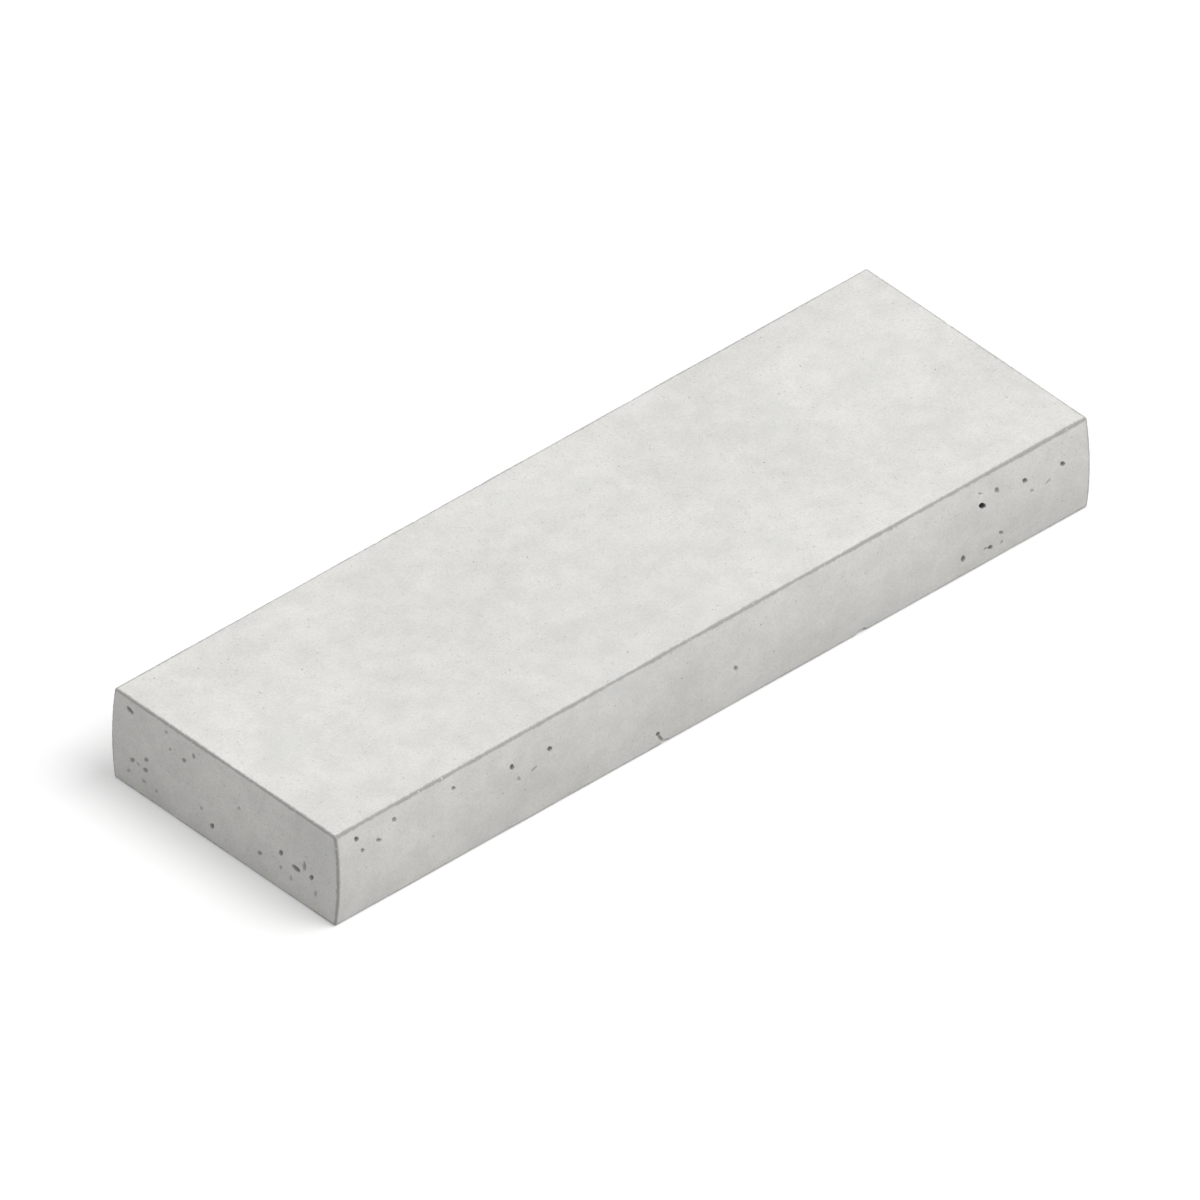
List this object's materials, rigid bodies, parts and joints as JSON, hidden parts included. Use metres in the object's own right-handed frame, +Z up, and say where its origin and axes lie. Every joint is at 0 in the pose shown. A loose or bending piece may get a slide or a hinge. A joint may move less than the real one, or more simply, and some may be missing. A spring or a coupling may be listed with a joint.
{
  "type": "concrete cap block",
  "caption": "Solid concrete cap block for the top of a wall: a long flat slab with a flat bed, top and ends and two gently bowed long sides.",
  "frame": {"origin": "centre of the flat bed that lies on the wall", "axes": "+X along the block's length, +Y across it, +Z up from bed to top"},
  "size_m": [0.6, 0.1998, 0.067],
  "materials": {
    "concrete": "matte"
  },
  "bodies": {
    "root": {"cap_block": "concrete"}
  },
  "joints": []
}
